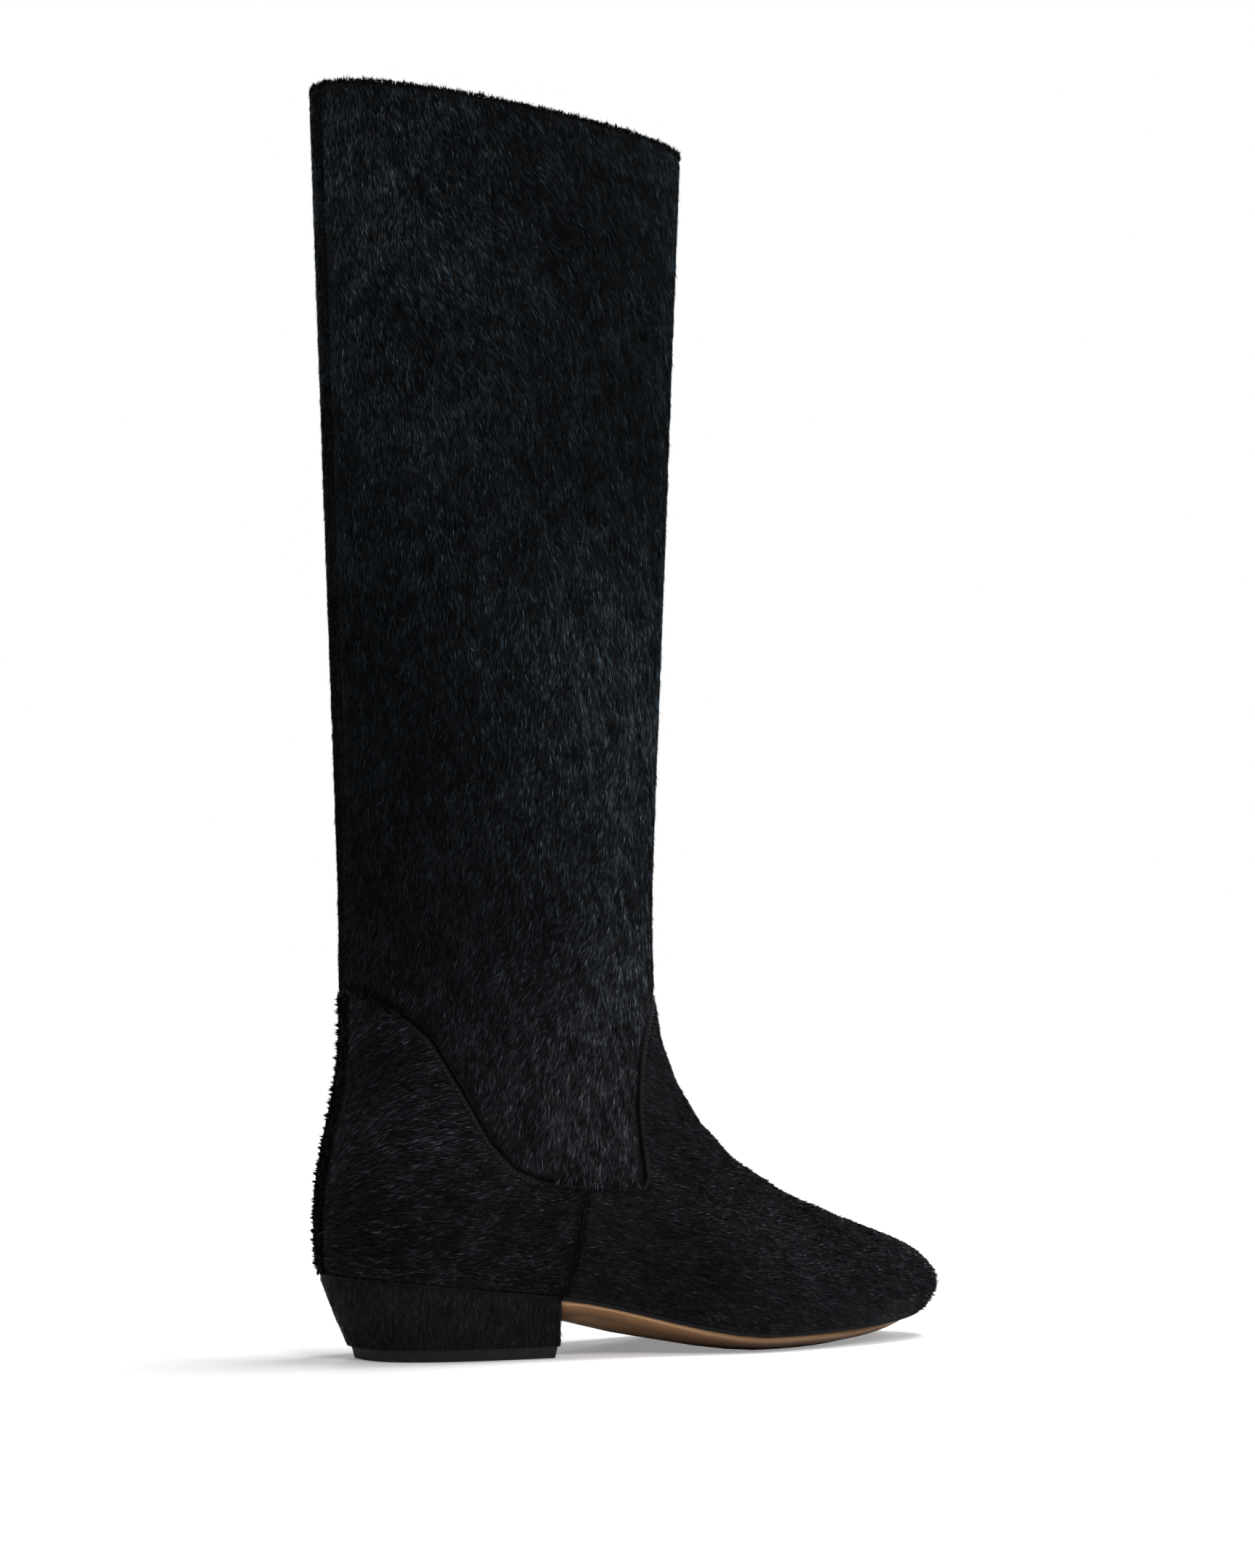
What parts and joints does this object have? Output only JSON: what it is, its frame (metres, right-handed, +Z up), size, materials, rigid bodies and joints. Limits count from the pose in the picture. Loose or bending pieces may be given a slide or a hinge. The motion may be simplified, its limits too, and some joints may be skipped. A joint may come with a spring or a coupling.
{
  "type": "knee-high boot",
  "caption": "Knee-high pull-on boot in black hair-on calf, with a lapped counter and vamp, a tan leather sole and a low covered block heel.",
  "frame": {"origin": "on the ground, at the middle of the top lift's ground face", "axes": "+X from heel to toe, +Y towards the inner (medial) side of this right boot, +Z up; ground is z = 0"},
  "size_m": [0.2622, 0.096, 0.4601],
  "materials": {
    "shaft_outer": "hair-on calf, black, short glossy hair",
    "shaft_inner": "hair-on calf, black, short glossy hair",
    "counter_outer": "hair-on calf, black, short glossy hair",
    "counter_inner": "hair-on calf, black, short glossy hair",
    "vamp": "hair-on calf, black, short glossy hair",
    "shaft_lining_outer": "smooth tan lining leather",
    "shaft_lining_inner": "smooth tan lining leather",
    "heel_lining": "smooth tan lining leather",
    "vamp_lining": "smooth tan lining leather",
    "heel_stiffener": "stiffened fibre sheet",
    "toe_puff": "thin stiffened fibre sheet",
    "topline_tape": "woven black tape",
    "back_seam_tape": "woven black tape",
    "front_seam_tape": "woven black tape",
    "insole_board": "cellulose insole board",
    "seat_board": "dense shank board",
    "shank": "blue tempered spring steel",
    "shank_rivets": "brass tubular rivets",
    "bottom_filler": "pressed cork filler",
    "heel_pad": "soft latex foam",
    "sock_lining": "smooth tan leather",
    "sole_rand": "dark blue-grey dyed leather",
    "outsole": "tan vegetable-tanned sole leather, waxed edge",
    "heel_cover": "hair-on calf, brownish black, hair running down",
    "heel_block": "moulded plastic heel",
    "heel_screw": "zinc plated steel",
    "heel_nails": "bright steel",
    "lift_pins": "steel dowel pins",
    "top_lift": "matte dark grey rubber"
  },
  "bodies": {
    "root": {"shaft_outer": "shaft_outer", "shaft_inner": "shaft_inner", "counter_outer": "counter_outer", "counter_inner": "counter_inner", "vamp": "vamp", "shaft_lining_outer": "shaft_lining_outer", "shaft_lining_inner": "shaft_lining_inner", "heel_lining": "heel_lining", "vamp_lining": "vamp_lining", "heel_stiffener": "heel_stiffener", "toe_puff": "toe_puff", "topline_tape": "topline_tape", "back_seam_tape": "back_seam_tape", "front_seam_tape": "front_seam_tape", "insole_board": "insole_board", "seat_board": "seat_board", "shank": "shank", "shank_rivets": "shank_rivets", "bottom_filler": "bottom_filler", "heel_pad": "heel_pad", "sock_lining": "sock_lining", "sole_rand": "sole_rand", "outsole": "outsole", "heel_cover": "heel_cover", "heel_block": "heel_block", "heel_screw": "heel_screw", "heel_nails": "heel_nails", "lift_pins": "lift_pins", "top_lift": "top_lift"}
  },
  "joints": []
}
